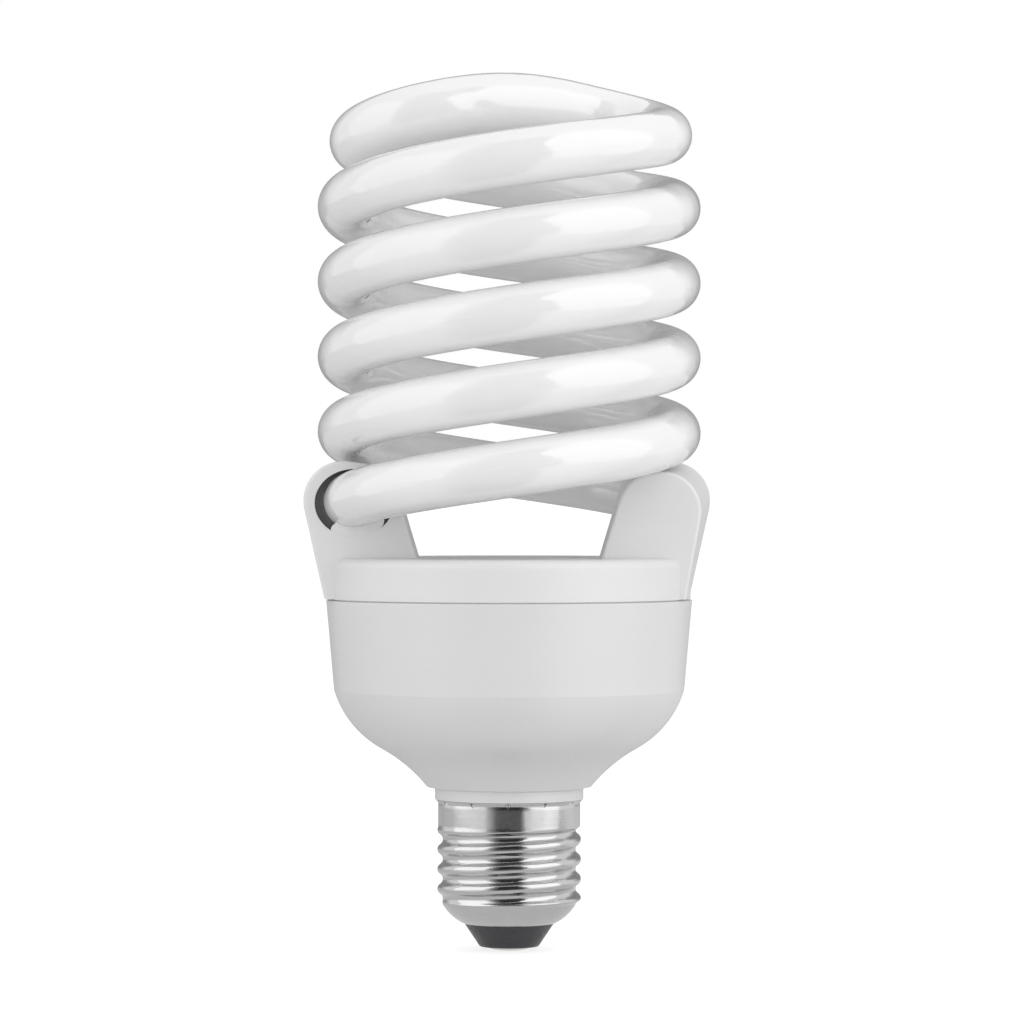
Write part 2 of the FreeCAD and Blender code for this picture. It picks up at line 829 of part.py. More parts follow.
def drive_winding():
    """Turns of insulated wire round the ring, standing against the board."""
    x, y = drive_place
    middle = V(x, y, board_height - drive_wire * 2 - drive_height / 2)
    inner = drive_bore - drive_wire - part_fit
    outer = drive_radius + drive_wire + part_fit
    reach = drive_height / 2 + drive_wire
    corners = [V(inner, 0, -reach), V(outer, 0, -reach), V(outer, 0, reach), V(inner, 0, reach)]
    path = rounded_wire(corners, [drive_wire * 1.5] * 4)
    ring = Part.Wire(Part.makeCircle(drive_wire, V((inner + outer) / 2, 0, -reach), V(1, 0, 0)))
    turn = path.makePipeShell([ring], True, False)
    turns = []
    for index in range(drive_turns):
        copy = turn.copy()
        copy.rotate(ORIGIN, UP, index * 360 / drive_turns)
        copy.translate(middle)
        turns.append(copy)
    return Part.makeCompound(turns)


def bobbin_pins():
    """Four pins from the bobbin's upper flange through the board."""
    x, y = choke_place
    flange_top = board_height - choke_limb - part_fit
    reach_x = choke_depth / 2 + 2 * leg_radius + part_fit
    reach_y = choke_length / 2 - choke_limb - reach_x
    pins = []
    for side_x in (-1, 1):
        for side_y in (-1, 1):
            place = (x + side_x * reach_x, y + side_y * reach_y)
            leg_places.append(place)
            foot = V(place[0], place[1], flange_top - bobbin_wall)
            pins.append(rod(leg_radius, board_top + leg_length - foot.z, foot))
    return pins


def power_transistor(side):
    """Moulded body on a metal tab, standing on three legs."""
    depth, width, height = transistor_size
    y = side * transistor_y
    leg_run = transistor_leg_run
    low = V(transistor_x - depth / 2, y - width / 2, board_height - leg_run - height)
    body_height = height * transistor_body_share
    body = Part.makeBox(depth, width, body_height, V(low.x, low.y, board_height - leg_run - body_height))
    body = body.makeChamfer(transistor_bevel, body.Edges)
    tab = Part.makeBox(transistor_tab, width, height - transistor_bevel, low)
    hole_foot = V(low.x, y, low.z + (height - body_height) / 2)
    hole = rod(transistor_hole, transistor_tab, hole_foot, V(1, 0, 0))
    shape = body.fuse(tab).cut(hole)
    pins = []
    for index in (-1, 0, 1):
        place = (transistor_x, y + index * transistor_leg_pitch)
        leg_places.append(place)
        foot = V(place[0], place[1], board_height - leg_run - transistor_bevel)
        pins.append(rod(leg_radius, board_top + leg_length - foot.z, foot))
    return shape.fuse(pins)


def rectifier_diodes():
    along = V(0, 1, 0)
    diodes = []
    for index in range(4):
        x = (index - 1.5) * diode_spacing
        diodes.append(axial_part((x, diode_y), diode_radius, diode_length, along))
    return Part.makeCompound(diodes)


def line_choke_drum():
    x, y = line_choke_place
    foot = board_height - line_choke_length
    half = line_choke_flange
    drum = turned([
        (0, foot, 0),
        (line_choke_radius, foot, 0),
        (line_choke_radius, foot + half, 0),
        (line_choke_core, foot + half, 0),
        (line_choke_core, board_height - half, 0),
        (line_choke_radius, board_height - half, 0),
        (line_choke_radius, board_height, 0),
        (0, board_height, 0),
    ])
    drum.translate(V(x, y, 0))
    reach = line_choke_radius / 2
    return on_legs(drum, [(x - reach, y), (x + reach, y)])


def line_choke_winding():
    x, y = line_choke_place
    low = board_height - line_choke_length + line_choke_flange + part_fit
    high = board_height - line_choke_flange - part_fit
    outer = rod(line_choke_radius - line_choke_inset, high - low, V(x, y, low))
    return outer.cut(rod(line_choke_core + part_fit, high - low, V(x, y, low)))


def thermistor():
    x, y = thermistor_place
    middle = V(x, y - thermistor_thickness / 2, board_height - thermistor_radius)
    disc = rod(thermistor_radius, thermistor_thickness, middle, V(0, 1, 0))
    disc = disc.makeFillet(thermistor_thickness / 4, [edge for edge in disc.Edges if edge.isClosed()])
    reach = thermistor_radius / 2
    pins = []
    for side in (-1, 1):
        place = (x + side * reach, y)
        leg_places.append(place)
        pins.append(rod(leg_radius, board_top + leg_length - middle.z, V(place[0], place[1], middle.z)))
    return disc.fuse(pins)


def base_resistors():
    along = V(0, 1, 0)
    parts = []
    for index in range(2):
        place = (resistor_x + index * resistor_spacing, 0.0)
        parts.append(axial_part(place, resistor_radius, resistor_length, along))
    return Part.makeCompound(parts)


def post_blocks(width, low, height):
    """Square posts for both ends of the tube, two on each side."""
    pair = []
    for side in (-1, 1):
        x = post_x + side * post_spread / 2
        pair.append(block((width, width, height), (x - width / 2, post_y - width / 2, low)))
    return pair + [half_turn(post) for post in pair]


def wrap_posts():
    return Part.makeCompound(post_blocks(post_width, board_height, board_thickness + post_height))


def circuit_board():
    board = rod(board_radius, board_thickness, V(0, 0, board_height))
    holes = post_blocks(post_width + 2 * part_fit, board_height, board_thickness)
    for x, y in leg_places:
        holes.append(rod(leg_radius + leg_fit, board_thickness, V(x, y, board_height)))
    return board.cut(holes)


# Wiring

def lead_wires():
    """Two bare wires from the right end of the tube to the wrap posts below it."""
    end, sideways, upward = tube_frame(strand_run)
    forward = sideways.cross(upward) * -1
    wires = []
    for side in (-1, 1):
        root = end + sideways * (side * lead_spread / 2) + forward * part_fit
        out = root + forward * lead_reach
        post_side = 1 if root.x > end.x else -1
        height = board_top + post_height - lead_wrap
        drop = V(out.x, out.y, height)
        beside = post_y - post_width / 2 - lead_radius - part_fit
        tip = V(post_x + post_side * post_spread / 2, beside, height)
        wires.append(bent_wire([root, out, drop, tip], lead_radius, lead_bend))
    return Part.makeCompound(wires)


def shell_wire():
    """Insulated wire from the board, through the neck, out to the cap shell."""
    inside = neck_radius - neck_wall - supply_radius - part_fit
    under = neck_foot - supply_drop
    bore = min(cap_radius(math.pi / 2, under + step * supply_radius) for step in (-1, 0, 1))
    start = V(0, inside, board_height)
    turn = V(0, inside, under)
    tip = V(0, bore - shell_wall - part_fit, under)
    return bent_wire([start, turn, tip], supply_radius, supply_bend)


def contact_wire():
    """Insulated wire from the board, under the filter capacitor, into the eyelet."""
    inside = neck_radius - neck_wall - supply_radius - part_fit
    start = V(0, -inside, board_height)
    turn = V(0, -inside, lip_height)
    under = V(0, 0, neck_foot)
    tip = V(0, 0, contact_thickness + part_fit)
    return bent_wire([start, turn, under, tip], supply_radius, supply_bend)


os.makedirs("parts", exist_ok=True)

adhesive = tube_adhesive()
wires = lead_wires()
parts = {
    "discharge_tube": discharge_tube(),
    "top_cover": top_cover(),
    "tube_adhesive_right": adhesive,
    "tube_adhesive_left": half_turn(adhesive),
    "ballast_housing": ballast_housing(),
    "screw_cap_shell": screw_cap_shell(),
    "cap_insulator": cap_insulator(),
    "centre_contact": centre_contact(),
    "filter_capacitor": filter_capacitor(),
    "choke_core_upper": choke_half(True),
    "choke_core_lower": choke_half(False),
    "choke_bobbin": choke_bobbin(),
    "choke_winding": choke_winding_coil(),
    "drive_ring": drive_ring(),
    "drive_winding": drive_winding(),
    "power_transistor_upper": power_transistor(1),
    "power_transistor_lower": power_transistor(-1),
    "rectifier_diodes": rectifier_diodes(),
    "line_choke_drum": line_choke_drum(),
    "line_choke_winding": line_choke_winding(),
    "thermistor": thermistor(),
    "fuse_resistor": axial_part(fuse_place, fuse_radius, fuse_length, V(1, 0, 0)),
    "trigger_diode": axial_part(trigger_place, trigger_radius, trigger_length, V(1, 0, 0)),
    "base_resistors": base_resistors(),
    "wrap_posts": wrap_posts(),
    "lead_wires_right": wires,
    "lead_wires_left": half_turn(wires),
    "shell_wire": shell_wire(),
    "contact_wire": contact_wire(),
}
for name, (place, size) in film_sizes.items():
    parts[name] = film_capacitor(place, size)
parts["circuit_board"] = circuit_board()

for name, shape in parts.items():
    save(shape, name)
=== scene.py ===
"""Looks of the spiral energy saving bulb: finishes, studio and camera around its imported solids.

Everything is in metres, in the frame of the solids: the centre contact's tip is at the origin
and the glass coil stands up along +Z.
"""

import math

import bmesh
import bpy
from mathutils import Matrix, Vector


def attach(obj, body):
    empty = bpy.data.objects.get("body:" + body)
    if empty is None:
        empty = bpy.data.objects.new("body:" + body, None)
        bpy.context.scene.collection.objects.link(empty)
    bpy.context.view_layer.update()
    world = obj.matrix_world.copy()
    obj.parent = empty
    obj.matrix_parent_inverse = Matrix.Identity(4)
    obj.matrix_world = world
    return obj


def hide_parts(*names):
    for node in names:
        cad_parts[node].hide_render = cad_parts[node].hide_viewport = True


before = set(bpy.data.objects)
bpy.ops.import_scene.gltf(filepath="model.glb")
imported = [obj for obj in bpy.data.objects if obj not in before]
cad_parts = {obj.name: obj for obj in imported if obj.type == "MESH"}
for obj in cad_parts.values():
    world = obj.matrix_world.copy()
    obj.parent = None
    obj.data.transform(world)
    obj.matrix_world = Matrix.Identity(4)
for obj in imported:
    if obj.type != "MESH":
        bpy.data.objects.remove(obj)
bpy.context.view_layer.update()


# Node helpers

def put(tree, kind, inputs=None, **settings):
    """Adds a node; each input takes a plain value or the output of another node."""
    made = tree.nodes.new(kind)
    for name, value in settings.items():
        setattr(made, name, value)
    for name, value in (inputs or {}).items():
        if isinstance(value, bpy.types.NodeSocket):
            tree.links.new(value, made.inputs[name])
        else:
            made.inputs[name].default_value = value
    return made


def millimetres(tree, stretch=(1, 1, 1)):
    """The surface point in millimetres, stretched to draw a pattern out along an axis."""
    place = put(tree, "ShaderNodeTexCoord").outputs["Object"]
    scale = tuple(1000 * s for s in stretch)
    return put(tree, "ShaderNodeVectorMath", {0: place, 1: scale}, operation="MULTIPLY").outputs[0]


def noise(tree, where, scale, detail=2.0, roughness=0.5):
    """Cloudy noise with `scale` features per millimetre."""
    inputs = {"Vector": where, "Scale": scale, "Detail": detail, "Roughness": roughness}
    return put(tree, "ShaderNodeTexNoise", inputs).outputs[0]


def spread(tree, value, low, high, start=0.0, end=1.0):
    """Maps start..end of a value smoothly to low..high."""
    inputs = {"Value": value, "From Min": start, "From Max": end, "To Min": low, "To Max": high}
    return put(tree, "ShaderNodeMapRange", inputs, interpolation_type="SMOOTHSTEP").outputs[0]


def turn_share(tree, angle):
    """An angle of -pi to pi as 0 to 1."""
    inputs = {"Value": angle, "From Min": -math.pi, "From Max": math.pi}
    return put(tree, "ShaderNodeMapRange", inputs).outputs[0]


def calculate(tree, operation, first, second=0.0):
    return put(tree, "ShaderNodeMath", {0: first, 1: second}, operation=operation).outputs[0]


def blend(tree, share, first, second):
    """Colour `first` where the share is 0, `second` where it is 1."""
    inputs = {0: share, 6: colour(first), 7: colour(second)}
    return put(tree, "ShaderNodeMix", inputs, data_type="RGBA").outputs[2]


def colour(value):
    return value if isinstance(value, bpy.types.NodeSocket) else (*value, 1.0)


def split(tree, where):
    """The x, y and z of a vector, and its distance from the Z axis."""
    x, y, z = put(tree, "ShaderNodeSeparateXYZ", {0: where}).outputs
    x_squared = calculate(tree, "MULTIPLY", x, x)
    y_squared = calculate(tree, "MULTIPLY", y, y)
    across = calculate(tree, "ADD", x_squared, y_squared)
    return x, y, z, calculate(tree, "SQRT", across)


def bump(tree, height, depth_mm, below=None):
    """Raises the surface by `height` (0 to 1) times a depth."""
    inputs = {"Height": height, "Distance": depth_mm / 1000, "Strength": 1.0}
    if below is not None:
        inputs["Normal"] = below
    return put(tree, "ShaderNodeBump", inputs).outputs[0]


def finish(name, **sockets):
    """A new material; `sockets` set its shader's own values, with _ for a space."""
    material = bpy.data.materials.new(name)
    material.use_nodes = True
    shader = material.node_tree.nodes["Principled BSDF"]
    for socket, value in sockets.items():
        shader.inputs[socket.replace("_", " ")].default_value = value
    return material, material.node_tree, shader


def feed(tree, shader, **sockets):
    for socket, output in sockets.items():
        tree.links.new(output, shader.inputs[socket.replace("_", " ")])


# Finishes of the pieces that show

def tube_glass():
    """Milky phosphor behind clear glass: an even white under two glossy skins, greyed towards the
    bottom of the coil as painted shade.
    """
    material, tree, shader = finish(
        "tube_glass_finish", IOR=1.5, Coat_Weight=1.0, Coat_Roughness=0.025, Coat_IOR=1.5)
    where = millimetres(tree)
    x, y, z, _ = split(tree, where)
    coating = blend(tree, noise(tree, where, 0.09, 3), (0.872, 0.867, 0.87), (0.892, 0.886, 0.888))
    grain = spread(tree, noise(tree, where, 3.0, 3, 0.7), 0.0, 0.10, 0.45, 0.75)
    coating = blend(tree, grain, coating, (0.80, 0.80, 0.81))
    # Greyer towards the bottom of the coil, round the tube ends above the cover: painted shade.
    painted_low_shade = spread(tree, z, 0.35, 0.0, 77, 88)
    coating = blend(tree, painted_low_shade, coating, (0.66, 0.65, 0.64))
    wave = noise(tree, where, 0.10, 1)
    ripple = noise(tree, where, 0.55, 2)
    pulled = bump(tree, wave, 0.35)
    pulled = bump(tree, ripple, 0.02, pulled)
    feed(tree, shader, Base_Color=coating, Normal=pulled, Coat_Normal=pulled,
         Roughness=spread(tree, noise(tree, where, 0.4, 4), 0.05, 0.10))
    return material


def moulding(name, dark, light, speck, gloss):
    """Moulded polycarbonate: off-white, satin, with fine eroded grain and light handling marks."""
    material, tree, shader = finish(name, IOR=1.48)
    where = millimetres(tree)
    grain = noise(tree, where, 6.0, 3, 0.6)
    orange_peel = noise(tree, where, 0.7, 2)
    flow = noise(tree, millimetres(tree, (0.03, 0.03, 0.12)), 1.0, 3)
    scuffs = noise(tree, millimetres(tree, (0.25, 0.25, 3.0)), 1.0, 5, 0.65)
    scuff_share = spread(tree, scuffs, 0.0, 1.0, 0.66, 0.74)
    body = blend(tree, flow, dark, light)
    body = blend(tree, spread(tree, grain, 0.0, 0.25, 0.35, 0.7), body, speck)
    roughness = spread(tree, grain, gloss[0], gloss[1], 0.3, 0.7)
    polished = calculate(tree, "MULTIPLY", scuff_share, 0.10)
    roughness = calculate(tree, "SUBTRACT", roughness, polished)
    surface = bump(tree, orange_peel, 0.025)
    surface = bump(tree, grain, 0.012, surface)
    feed(tree, shader, Base_Color=body, Roughness=roughness, Normal=surface)
    return material


def adhesive():
    """White cement pressed in round the glass: matt, slightly lumpy and pitted."""
    material, tree, shader = finish("adhesive_finish", IOR=1.45)
    where = millimetres(tree)
    lumps = noise(tree, where, 0.55, 3)
    pits = put(tree, "ShaderNodeTexVoronoi", {"Vector": where, "Scale": 2.2}).outputs["Distance"]
    # Darker in the pits: painted shade in the hollows.
    pit_painted_shade = spread(tree, pits, 1.0, 0.0, 0.04, 0.12)
    body = blend(tree, lumps, (0.74, 0.74, 0.74), (0.78, 0.78, 0.775))
    body = blend(tree, pit_painted_shade, body, (0.66, 0.65, 0.64))
    surface = bump(tree, lumps, 0.08)
    surface = bump(tree, spread(tree, pits, 0.0, 1.0, 0.04, 0.14), 0.05, surface)
    feed(tree, shader, Base_Color=body, Normal=surface,
         Roughness=spread(tree, noise(tree, where, 3.0, 3), 0.36, 0.50))
    return material


def cap_metal():
    """Nickel-plated brass: rolled, with fine turning lines, dull patches and scratches."""
    material, tree, shader = finish("cap_metal_finish", Metallic=1.0)
    where = millimetres(tree)
    lines = noise(tree, millimetres(tree, (0.25, 0.25, 9.0)), 1.0, 4, 0.7)
    fine_lines = noise(tree, millimetres(tree, (0.8, 0.8, 30.0)), 1.0, 3, 0.7)
    clouds = noise(tree, where, 0.35, 4, 0.6)
    specks = noise(tree, where, 5.0, 3, 0.75)
    plating = blend(tree, clouds, (0.53, 0.53, 0.53), (0.60, 0.60, 0.595))
    plating = blend(tree, spread(tree, lines, 0.0, 0.35, 0.5, 0.8), plating, (0.43, 0.43, 0.43))
    plating = blend(tree, spread(tree, specks, 0.0, 0.5, 0.62, 0.75), plating, (0.33, 0.325, 0.32))
    roughness = calculate(tree, "ADD", spread(tree, clouds, 0.08, 0.15, 0.3, 0.7),
                          spread(tree, fine_lines, 0.0, 0.06, 0.4, 0.8))
    surface = bump(tree, lines, 0.004)
    surface = bump(tree, fine_lines, 0.0015, surface)
    surface = bump(tree, noise(tree, where, 0.5, 1), 0.008, surface)
    feed(tree, shader, Base_Color=plating, Roughness=roughness, Normal=surface)
    return material


def black_glass():
    """The cap's fused glass insulator: near black, wavy, with small bubbles and a dusty bloom."""
    material, tree, shader = finish("black_glass_finish", IOR=1.52)
    where = millimetres(tree)
    waves = noise(tree, where, 0.45, 2)
    bubbles = put(tree, "ShaderNodeTexVoronoi", {"Vector": where, "Scale": 1.6}).outputs["Distance"]
    dust = noise(tree, where, 1.4, 5, 0.7)
    body = blend(tree, dust, (0.022, 0.022, 0.026), (0.050, 0.050, 0.055))
    surface = bump(tree, waves, 0.10)
    surface = bump(tree, spread(tree, bubbles, 0.0, 1.0, 0.05, 0.16), 0.03, surface)
    feed(tree, shader, Base_Color=body, Normal=surface,
         Roughness=spread(tree, dust, 0.22, 0.50, 0.3, 0.7))
    return material


def contact_metal():
    """Tinned brass contact: rolled flat outside, with a lumpy spot of solder at its middle."""
    material, tree, shader = finish("contact_metal_finish", Metallic=1.0)
    where = millimetres(tree)
    _, _, _, radius = split(tree, where)
    edge_wander = calculate(tree, "MULTIPLY", noise(tree, where, 1.2, 2), 0.7)
    solder = spread(tree, calculate(tree, "ADD", radius, edge_wander), 1.0, 0.0, 1.75, 1.95)
    rings = put(tree, "ShaderNodeTexWave", {"Vector": where, "Scale": 1.1, "Distortion": 0.6},
                wave_type="RINGS", rings_direction="Z").outputs["Fac"]
    tarnish = noise(tree, where, 1.1, 4, 0.6)
    body = blend(tree, tarnish, (0.55, 0.54, 0.51), (0.70, 0.69, 0.67))
    body = blend(tree, solder, body, (0.62, 0.63, 0.64))
    roughness = blend(tree, solder, (0.30, 0.30, 0.30), (0.18, 0.18, 0.18))
    surface = bump(tree, rings, 0.01)
    surface = bump(tree, solder, 0.12, surface)
    lumps = calculate(tree, "MULTIPLY", solder, noise(tree, where, 1.5, 3))
    surface = bump(tree, lumps, 0.10, surface)
    feed(tree, shader, Base_Color=body, Roughness=roughness, Normal=surface)
    return material


# Finishes of the ballast inside

def board():
    """Pressed paper laminate, amber brown, with copper runs under lacquer on its lower side."""
    material, tree, shader = finish("board_finish", IOR=1.5)
    where = millimetres(tree)
    fibres = noise(tree, millimetres(tree, (1.0, 6.0, 1.0)), 0.8, 4, 0.6)
    laminate = blend(tree, fibres, (0.30, 0.17, 0.07), (0.42, 0.26, 0.11))
    cells = put(tree, "ShaderNodeTexVoronoi", {"Vector": where, "Scale": 0.16},
                feature="DISTANCE_TO_EDGE", distance="CHEBYCHEV").outputs["Distance"]
    run = spread(tree, cells, 0.0, 1.0, 0.06, 0.09)
    _, _, z, _ = split(tree, where)
    lower_side = spread(tree, z, 1.0, 0.0, 59.5, 59.6)
    body = blend(tree, calculate(tree, "MULTIPLY", run, lower_side), laminate, (0.16, 0.20, 0.07))
    feed(tree, shader, Base_Color=body, Normal=bump(tree, fibres, 0.02),
         Roughness=spread(tree, fibres, 0.40, 0.60))
    return material


def moulded(name, dark, light, grain=2.0, depth_mm=0.03, gloss=(0.35, 0.55), **sockets):
    """A moulded, sintered or dipped body: clouded colour, fine grain and uneven gloss."""
    material, tree, shader = finish(name, **sockets)
    where = millimetres(tree)
    clouds = noise(tree, where, 0.5, 4, 0.6)
    fine = noise(tree, where, grain, 3, 0.65)
    body = blend(tree, clouds, dark, light)
    body = blend(tree, spread(tree, fine, 0.0, 0.5, 0.55, 0.8), body, dark)
    feed(tree, shader, Base_Color=body, Normal=bump(tree, fine, depth_mm),
         Roughness=spread(tree, fine, gloss[0], gloss[1], 0.3, 0.7))
    return material


def copper():
    """Enamelled copper wire laid side by side, one turn to each 0.35 mm."""
    material, tree, shader = finish(
        "copper_finish", Metallic=1.0, Coat_Weight=0.6, Coat_Roughness=0.15)
    where = millimetres(tree)
    turns = put(tree, "ShaderNodeTexWave", {"Vector": where, "Scale": 0.9, "Distortion": 0.4},
                wave_type="BANDS", bands_direction="Z", wave_profile="SIN").outputs["Fac"]
    shade = noise(tree, where, 1.2, 3)
    body = blend(tree, shade, (0.48, 0.20, 0.08), (0.62, 0.28, 0.12))
    # Darker between the turns: painted shade in the grooves.
    body = blend(tree, spread(tree, turns, 0.8, 0.0, 0.0, 0.35), body, (0.16, 0.06, 0.03))
    feed(tree, shader, Base_Color=body, Normal=bump(tree, turns, 0.12),
         Roughness=spread(tree, shade, 0.22, 0.40))
    return material


def resistor_body():
    """Tan lacquered film body with four plain rings of colour."""
    material, tree, shader = finish("resistor_body_finish", IOR=1.5)
    where = millimetres(tree)
    _, y, _, _ = split(tree, where)
    rings = put(tree, "ShaderNodeTexWave", {"Vector": where, "Scale": 0.28},
                wave_type="BANDS", bands_direction="Y").outputs["Fac"]
    clouds = noise(tree, where, 1.5, 3)
    lacquer = blend(tree, clouds, (0.50, 0.36, 0.20), (0.60, 0.45, 0.27))
    body = blend(tree, spread(tree, rings, 0.0, 1.0, 0.85, 0.9), lacquer, (0.20, 0.07, 0.03))
    feed(tree, shader, Base_Color=body, Normal=bump(tree, clouds, 0.05),
         Roughness=spread(tree, clouds, 0.20, 0.40))
    return material


finishes = {
    "tube_glass": tube_glass(),
    "housing_plastic": moulding("housing_plastic_finish", (0.728, 0.719, 0.724),
                                (0.768, 0.759, 0.763), (0.677, 0.669, 0.674), (0.26, 0.38)),
    "adhesive": adhesive(),
    "cap_metal": cap_metal(),
    "black_glass": black_glass(),
    "contact_metal": contact_metal(),
    "board": board(),
    "sleeve": moulded("sleeve_finish", (0.015, 0.02, 0.05), (0.03, 0.04, 0.09),
                      gloss=(0.2, 0.35)),
    "ferrite": moulded("ferrite_finish", (0.03, 0.03, 0.032), (0.06, 0.06, 0.062),
                       gloss=(0.55, 0.8)),
    "bobbin_plastic": moulded("bobbin_finish", (0.55, 0.54, 0.48), (0.66, 0.65, 0.58)),
    "copper": copper(),
    "transistor_epoxy": moulded("epoxy_finish", (0.02, 0.02, 0.02), (0.04, 0.04, 0.04), grain=6.0),
    "component_lacquer": moulded("lacquer_finish", (0.42, 0.12, 0.03), (0.55, 0.18, 0.05),
                                 gloss=(0.12, 0.28)),
    "resistor_body": resistor_body(),
    "lead_metal": moulded("lead_finish", (0.50, 0.50, 0.50), (0.66, 0.66, 0.65), depth_mm=0.01,
                          gloss=(0.25, 0.40), Metallic=1.0),
    "wire_insulation": moulded("insulation_finish", (0.45, 0.04, 0.03), (0.56, 0.07, 0.05),
                               gloss=(0.30, 0.45)),
}

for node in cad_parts.values():
    for held in node.material_slots:
        held.material = finishes[held.material.name.split(".")[0]]

cover_plastic = moulding("cover_plastic_finish", (0.754, 0.745, 0.748), (0.794, 0.785, 0.787),
                         (0.704, 0.696, 0.698), (0.34, 0.46))
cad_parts["top_cover"].material_slots[0].material = cover_plastic


# Adhesive between the glass and the two mouths, and a dark ring further in as painted shade in their
# gaps

COIL_RADIUS = 0.03005
COIL_CLIMB = 0.02753 / (2 * math.pi)    # rise of the tube for each radian
TUBE_RADIUS = 0.00509
SOCKET_AXIS = 0.0812                    # height of the tube in the middle of a socket
MOUTH_PLANE = -0.0106                   # of the left socket; the right one is its half turn
MOUTH_REACH = (0.00719, 0.00618)        # half the mouth's width and height
MOUTH_DROP = 0.00072                    # middle of the mouth below the tube's centre line
MM = 0.001

ADHESIVE_AT_EDGE = (-126, 79)           # degrees round the mouth's edge: start and run
ADHESIVE_AT_TUBE = (-127, 95)           # the same round the glass
ADHESIVE_ENDS = (0.25, 0.3)             # shares of the run over which the two ends thin out
ADHESIVE_SMEAR = -0.20                  # outer edge past the mouth's, as a share of the gap
ADHESIVE_FRONT = (0.03, -0.25)          # mm before the mouth plane, mid run and at the ends
ADHESIVE_FEATHER = -0.10                # the same at the smeared edge
ADHESIVE_DRAWN_UP = 0.8                 # mm that it creeps out along the glass
ADHESIVE_DEPTH = 2.4                    # mm behind the mouth plane
ADHESIVE_BULGES = (-0.3, 0.7)           # mm sideways in the first and last fifth of the run
ADHESIVE_COLUMNS = 48
ADHESIVE_STEPS = (16, 5)                # of a section's front and back

SHADE_RING_DEPTH = 0.85                    # mm behind the mouth plane
SHADE_RING_HOLLOW = 0.5                    # deeper midway between glass and mouth
SHADE_RING_BACK = 2.1
SHADE_RING_COLUMNS = 96
SHADE_RING_STEPS = 8


def on_tube(angle, y):
    """The point on the left strand's skin at y and an angle round the tube, 0 facing the axis."""
    turned = math.asin(-y / COIL_RADIUS)
    for _ in range(8):
        across = COIL_RADIUS * math.cos(turned)
        along = COIL_RADIUS * math.sin(turned)
        forward = Vector((along, -across, COIL_CLIMB)).normalized()
        right = Vector((0, 0, 1)).cross(forward).normalized()
        outward = math.cos(angle) * right + math.sin(angle) * forward.cross(right)
        centre = Vector((-across, -along, SOCKET_AXIS + COIL_CLIMB * turned))
        point = centre + TUBE_RADIUS * outward
        turned += (point.y - y) / across
    return point


def mouth_edge(angle, y):
    """The point on the left mouth's oval edge, carried along to y, at an angle as on_tube has it."""
    turned = math.asin(-MOUTH_PLANE / COIL_RADIUS)
    x = MOUTH_REACH[0] * math.cos(angle) - COIL_RADIUS * math.cos(turned)
    z = MOUTH_REACH[1] * math.sin(angle) - MOUTH_DROP + SOCKET_AXIS + COIL_CLIMB * turned
    return Vector((x, y, z))


def mouth_filling(name, columns, closed, material):
    """Solids between glass and mouth, left and right; each column is a loop of points."""
    count = len(columns)
    loop = len(columns[0])
    points = [point for column in columns for point in column]
    faces = []
    for i in range(count if closed else count - 1):
        here = i * loop
        there = (i + 1) % count * loop
        for j in range(loop):
            k = (j + 1) % loop
            faces.append((here + j, here + k, there + k, there + j))
    if not closed:
        faces.append(tuple(range(loop)))
        faces.append(tuple(range((count - 1) * loop, count * loop))[::-1])
    made = []
    for side, turn in (("left", 1), ("right", -1)):
        mesh = bpy.data.meshes.new(f"{name}_{side}")
        mesh.from_pydata([(turn * p.x, turn * p.y, p.z) for p in points], [], faces)
        shaped = bmesh.new()
        shaped.from_mesh(mesh)
        bmesh.ops.recalc_face_normals(shaped, faces=shaped.faces)
        shaped.to_mesh(mesh)
        shaped.free()
        mesh.shade_smooth()
        mesh.materials.append(material)
        piece = bpy.data.objects.new(f"{name}_{side}", mesh)
        bpy.context.scene.collection.objects.link(piece)
        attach(piece, "root")
        made.append(piece)
    return made


def eased(share):
    """A share from 0 to 1 with a soft start and end."""
    share = min(1.0, max(0.0, share))
    return share * share * (3 - 2 * share)


def adhesive_column(share):
    """Section of the adhesive: smeared over the mouth's edge, hollow, and drawn up on the glass."""
    at_edge = math.radians(ADHESIVE_AT_EDGE[0] + ADHESIVE_AT_EDGE[1] * share)
    at_tube = math.radians(ADHESIVE_AT_TUBE[0] + ADHESIVE_AT_TUBE[1] * share)
    middle = eased(share / ADHESIVE_ENDS[0]) * eased((1 - share) / ADHESIVE_ENDS[1])
    front_steps, back_steps = ADHESIVE_STEPS
    first = ADHESIVE_SMEAR * middle
    section = []
    for step in range(front_steps + 1):
        v = first + (1 - first) * step / front_steps
        lift = ADHESIVE_FRONT[0] * middle + ADHESIVE_FRONT[1] * (1 - middle)
        lift += ADHESIVE_DRAWN_UP * max(0.0, v) ** 3
        if step == 0:
            lift = ADHESIVE_FEATHER
        section.append((v, MOUTH_PLANE - lift * MM))
    for step in range(back_steps + 1):
        section.append((1 - step / back_steps, MOUTH_PLANE + ADHESIVE_DEPTH * MM))
    aside = ADHESIVE_BULGES[1] * eased((share - 0.8) / 0.2)
    aside += ADHESIVE_BULGES[0] * eased((0.2 - share) / 0.2)
    column = []
    for v, y in section:
        point = mouth_edge(at_edge, y).lerp(on_tube(at_tube, y), v)
        bulge = 4 * v * (1 - v) * aside
        column.append(point + Vector((bulge * MM, 0, 0)))
    return column


def shade_ring_column(share):
    """Section of the dark ring further in, all round the glass: painted shade in the mouth's gap."""
    angle = 2 * math.pi * share
    section = []
    for step in range(SHADE_RING_STEPS + 1):
        v = step / SHADE_RING_STEPS
        depth = SHADE_RING_DEPTH + SHADE_RING_HOLLOW * math.sin(math.pi * v)
        section.append((v, MOUTH_PLANE + depth * MM))
    section += [(v, MOUTH_PLANE + SHADE_RING_BACK * MM) for v in (1.0, 0.0)]
    return [mouth_edge(angle, y).lerp(on_tube(angle, y), v) for v, y in section]


